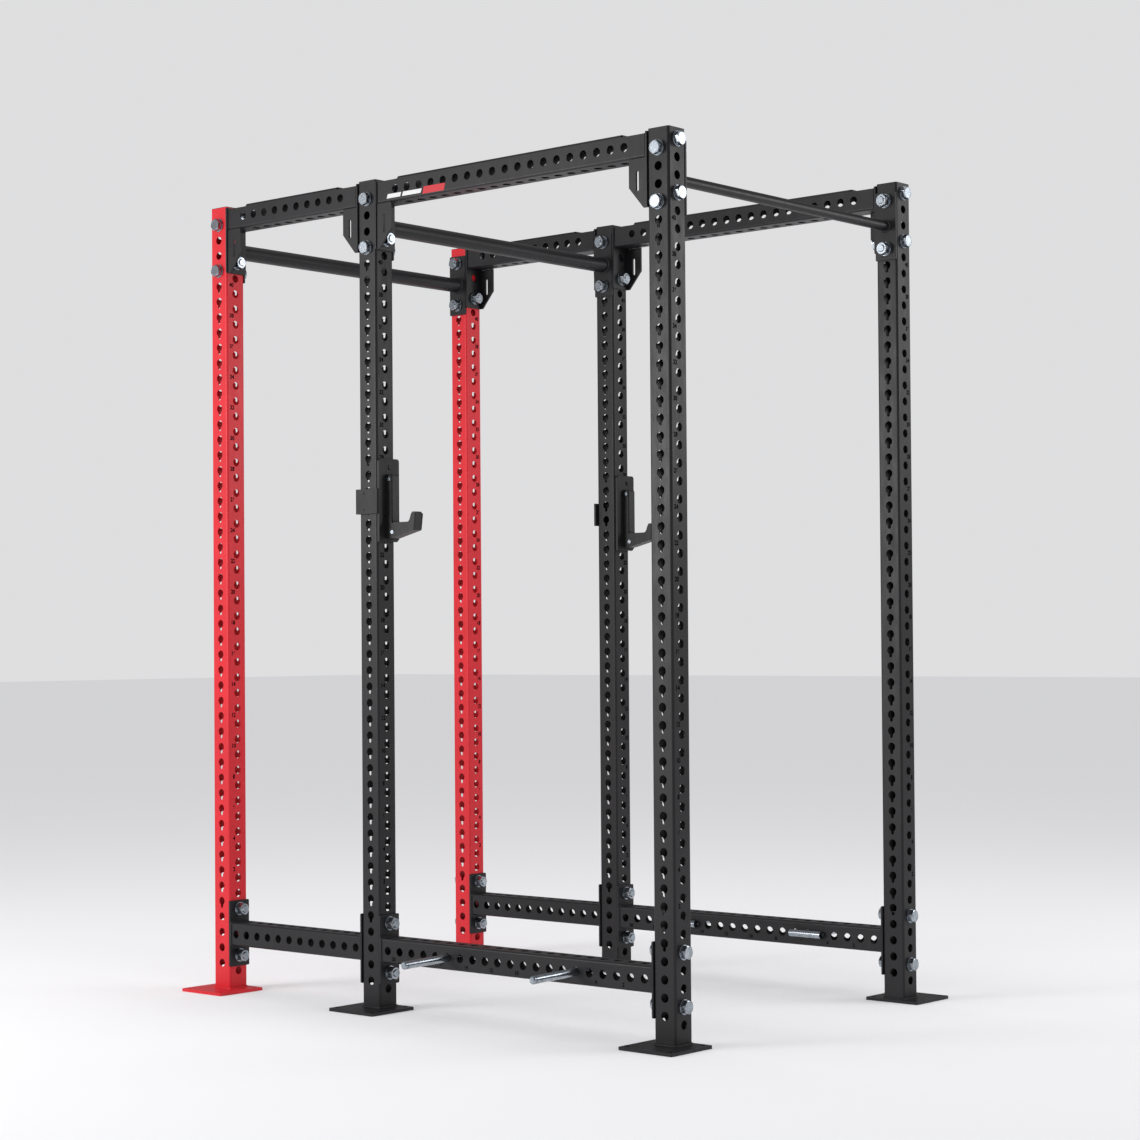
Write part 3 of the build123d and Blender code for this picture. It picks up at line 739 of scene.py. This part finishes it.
nuts, washers = Shape(), Shape()
for kind, group in clamps.items():
    shape = Shape()
    for head, direction, grip in group:
        bolt(shape, head - direction * WASHER_THICKNESS, direction, grip + 2 * WASHER_THICKNESS)
        washer(washers, head - direction * WASHER_THICKNESS, direction)
        washer(washers, head + direction * grip, direction)
        nut_face = head + direction * (grip + WASHER_THICKNESS)
        hexagon(nuts, nut_face, direction, NUT_HEIGHT, True, bore=BOLT_RADIUS - THREAD_DEPTH)
    shape.piece(f"{kind}_screws", ZINC, slot="zinc", stands_for=[f"{kind}_bolts"])
nuts.piece("hex_nuts", ZINC, slot="zinc", stands_for=["nuts"])
washers.piece("flat_washers", ZINC, slot="zinc", stands_for=["washers"])


# ======================================================================================
# Cut numbers and hook letters drawn as painted shade, and the side label
# ======================================================================================
LETTER_PROUD = 0.15 * MM
CAPITAL_SHARE = 0.70        # a capital letter's height as a share of the font's size
BOLDNESS = 0.035            # how far each stroke is widened, as a share of the font's size


def lettering(name, words, material, body, slot):
    """Flat text, a little proud. words is a list of (text, height, centre, right, up)."""
    shape = Shape()
    for text, height, middle, right, up in words:
        curve = bpy.data.curves.new(name, "FONT")
        curve.body = text
        curve.size = height / CAPITAL_SHARE
        curve.align_x = "CENTER"
        curve.align_y = "CENTER"
        curve.offset = BOLDNESS * curve.size
        holder = bpy.data.objects.new(name, curve)
        bpy.context.scene.collection.objects.link(holder)
        flat = bpy.data.meshes.new_from_object(holder.evaluated_get(bpy.context.evaluated_depsgraph_get()))
        normal = right.cross(up)
        base = middle + normal * LETTER_PROUD
        points = [base + right * v.co.x + up * v.co.y for v in flat.vertices]
        shape.add(points, [tuple(face.vertices) for face in flat.polygons], False)
        bpy.data.objects.remove(holder)
        bpy.data.meshes.remove(flat)
    return shape.piece(name, material, body=body, slot=slot)


NUMBER_INSET = 21.0 * MM
NUMBER_HEIGHT = 13.0 * MM
NUMBER_RISE = 3.0 * MM      # above the side face's hole
NUMBER_OFFSET = 4.5         # pitches from the lowest hole to where a number 0 would stand
EVEN = range(2, 41, 2)
# The numbers are cut through the tubes' walls; each is drawn as a flat deep black mark, painted shade for
# the dark inside of the tube.
for (row, side), (low, high) in UPRIGHTS.items():
    across = low.x + NUMBER_INSET if side == "left" else high.x - NUMBER_INSET
    words = []
    for number in EVEN:
        height = FOOT_TOP + FACE_FIRST + (number + NUMBER_OFFSET) * PITCH + NUMBER_RISE
        words.append((str(number), NUMBER_HEIGHT, Vector((across, low.y, height)), X, Z))
    slot = "rear_red" if row == "rear" else "frame_black"
    lettering(f"numbers_{row}_{side}", words, CUT_SHADE, "cage", slot)

BEAM_NUMBER_DROP = 24.0 * MM
BEAM_NUMBER_HEIGHT = 11.0 * MM
# The beam numbers are cut through too, and drawn as the same painted shade.
for side in SIDES:
    low, high = span(f"bottom_beam_front_{side}")
    first = (low.y + high.y) / 2 - (BOTTOM_HOLES["front"] - 1) / 2 * PITCH
    words = []
    for number in range(2, 21, 2):
        spot_y = first + (number - 0.5) * PITCH
        height = (low.z + high.z) / 2 - BEAM_NUMBER_DROP
        for face_x, right in ((low.x, -Y), (high.x, Y)):
            spot = Vector((face_x, spot_y, height))
            words.append((str(number), BEAM_NUMBER_HEIGHT, spot, right, Z))
    lettering(f"beam_numbers_{side}", words, CUT_SHADE, "cage", "frame_black")

# ---- generic left and right letters on the hooks' front plates, drawn as painted shade of the engraving ----
LETTER_HEIGHT = 14.0 * MM
LETTER_DROP = 27.7 * MM
LETTER_INSET = {"left": 43.4 * MM, "right": 49.4 * MM}
for side, letter in (("left", "L"), ("right", "R")):
    low, high = span(f"hook_plate_{side}")
    spot = Vector((low.x + LETTER_INSET[side], low.y, high.z - LETTER_DROP))
    words = [(letter, LETTER_HEIGHT, spot, X, Z)]
    lettering(f"hook_letter_{side}", words, CUT_SHADE, f"hook_{side}", "hook_black")

# ---- a plain two-colour label on the left top beam: pale bars, then a short red block ----
low, high = span("top_beam_front_left")
LABEL_CENTRE_Z = (low.z + high.z) / 2 - 20.5 * MM
LABEL_START = 43.7 * MM     # from the end of the beam at the middle upright
LABEL_HEIGHT = 22.0 * MM
LABEL_SLANT = 5.0 * MM
LABEL_PROUD = 0.2 * MM
label_parts = (
    ("label_bar_thin", INK_WHITE, 0.0, 58 * MM, LABEL_HEIGHT * 0.6),
    ("label_bar", INK_WHITE, 66 * MM, 146 * MM, LABEL_HEIGHT * 0.6),
    ("label_block", INK_RED, 154 * MM, 244 * MM, LABEL_HEIGHT),
)
for name, material, start, end, height in label_parts:
    def slanted(grow, start=start, end=end, height=height):
        rise = height / 2
        return [
            (start, LABEL_CENTRE_Z - rise), (end, LABEL_CENTRE_Z - rise),
            (end + LABEL_SLANT, LABEL_CENTRE_Z + rise), (start + LABEL_SLANT, LABEL_CENTRE_Z + rise),
        ]

    def on_beam(u, v, depth):
        return Vector((low.x - LABEL_PROUD + depth, high.y - LABEL_START - u, v))
    shape = Shape()
    plate(shape, slanted, [], on_beam, LABEL_PROUD, edge=0.0)
    shape.piece(name, material, slot="frame_black")

# ======================================================================================
# Parts that keep their CAD shape
# ======================================================================================
def eased(node, material, width):
    """Finish a CAD node and ease its sharp edges with a bevel."""
    obj = paint(node, material)
    soft = obj.modifiers.new("eased_edges", "BEVEL")
    soft.width = width
    soft.segments = 2
    soft.limit_method = "ANGLE"
    soft.angle_limit = radians(40)
    return obj


for row in ROWS:
    for side in SIDES:
        eased(f"foot_{row}_{side}", RED_COAT if row == "rear" else BLACK_COAT, 0.8 * MM)
paint("upright_caps", CAP)
for side in SIDES:
    paint(f"hook_plate_{side}", HOOK_COAT)
    eased(f"hook_ear_{side}", HOOK_COAT, 0.7 * MM)
    eased(f"hook_cheeks_{side}", HOOK_COAT, 0.6 * MM)
    eased(f"hook_liner_{side}", LINER, 1.0 * MM)
    paint(f"hook_screws_{side}", ZINC)
    paint(f"hook_pin_{side}", ZINC)
    for spot in ("front", "back"):
        paint(f"band_peg_{spot}_{side}", ZINC)

# ======================================================================================
# Floor, lights and camera
# ======================================================================================
floor_mesh = bpy.data.meshes.new("floor")
FLOOR_HALF = 60.0
floor_mesh.from_pydata(
    [(x * FLOOR_HALF, y * FLOOR_HALF, 0.0) for x, y in ((-1, -1), (1, -1), (1, 1), (-1, 1))],
    [], [(0, 1, 2, 3)],
)
floor = bpy.data.objects.new("floor", floor_mesh)
bpy.context.scene.collection.objects.link(floor)
floor_material, floor_shader = new_material("pale_floor")
floor_shader.inputs["Base Color"].default_value = (0.88, 0.88, 0.89, 1.0)
floor_shader.inputs["Roughness"].default_value = 0.85
floor_shader.inputs["Specular IOR Level"].default_value = 0.0
floor_mesh.materials.append(floor_material)

# A pale even backdrop lights the floor and the part; its shiny faces mirror a dimmer room.
world = bpy.data.worlds.new("studio")
world.use_nodes = True
world_nodes, world_links = world.node_tree.nodes, world.node_tree.links
backdrop = world_nodes["Background"]
backdrop.inputs["Color"].default_value = (0.80, 0.80, 0.81, 1.0)
backdrop.inputs["Strength"].default_value = 0.92
room = world_nodes.new("ShaderNodeBackground")
room.inputs["Color"].default_value = (0.80, 0.80, 0.82, 1.0)
room.inputs["Strength"].default_value = 0.30
ray_kind = world_nodes.new("ShaderNodeLightPath")
blend = world_nodes.new("ShaderNodeMixShader")
world_links.new(ray_kind.outputs["Is Glossy Ray"], blend.inputs["Fac"])
world_links.new(backdrop.outputs["Background"], blend.inputs[1])
world_links.new(room.outputs["Background"], blend.inputs[2])
world_links.new(blend.outputs["Shader"], world_nodes["World Output"].inputs["Surface"])
bpy.context.scene.view_settings.view_transform = "Standard"
bpy.context.scene.world = world


def area_light(name, place, target, size, power):
    light = bpy.data.lights.new(name, "AREA")
    light.shape = "RECTANGLE"
    light.size, light.size_y = size
    light.energy = power
    obj = bpy.data.objects.new(name, light)
    obj.location = place
    obj.rotation_euler = (Vector(target) - Vector(place)).to_track_quat("-Z", "Y").to_euler()
    obj.visible_camera = False
    bpy.context.scene.collection.objects.link(obj)
    return obj


area_light("left_softbox", (-5.0, 2.6, 2.2), (0.0, 0.3, 1.6), (2.0, 2.0), 130)
area_light("front_softbox", (3.4, -4.0, 2.9), (0.0, 0.0, 1.9), (1.8, 1.8), 55)
area_light("top", (0.0, 0.0, 6.0), (0.0, 0.0, 0.0), (5.0, 5.0), 60)

CAMERA_PLACE = (-6.0216, -5.2046, 1.1389)
CAMERA_YAW, CAMERA_PITCH, CAMERA_ROLL = radians(-48.5697), radians(1.0502), radians(-0.4047)
CENTRE_SHIFT = (0.03503, 0.02455)
SENSOR_WIDTH, FOCAL_LENGTH = 36.0, 77.457

camera_data = bpy.data.cameras.new("camera")
camera_data.sensor_width = SENSOR_WIDTH
camera_data.lens = FOCAL_LENGTH
camera_data.shift_x, camera_data.shift_y = CENTRE_SHIFT
camera = bpy.data.objects.new("camera", camera_data)
forward = Vector((
    -sin(CAMERA_YAW) * cos(CAMERA_PITCH), cos(CAMERA_YAW) * cos(CAMERA_PITCH), sin(CAMERA_PITCH),
))
level_right = Vector((cos(CAMERA_YAW), sin(CAMERA_YAW), 0.0))
level_up = level_right.cross(forward)
right = level_right * cos(CAMERA_ROLL) + level_up * sin(CAMERA_ROLL)
upward = -level_right * sin(CAMERA_ROLL) + level_up * cos(CAMERA_ROLL)
turned = Matrix((right, upward, -forward)).transposed().to_4x4()
camera.matrix_world = Matrix.Translation(CAMERA_PLACE) @ turned
bpy.context.scene.collection.objects.link(camera)
bpy.context.scene.camera = camera
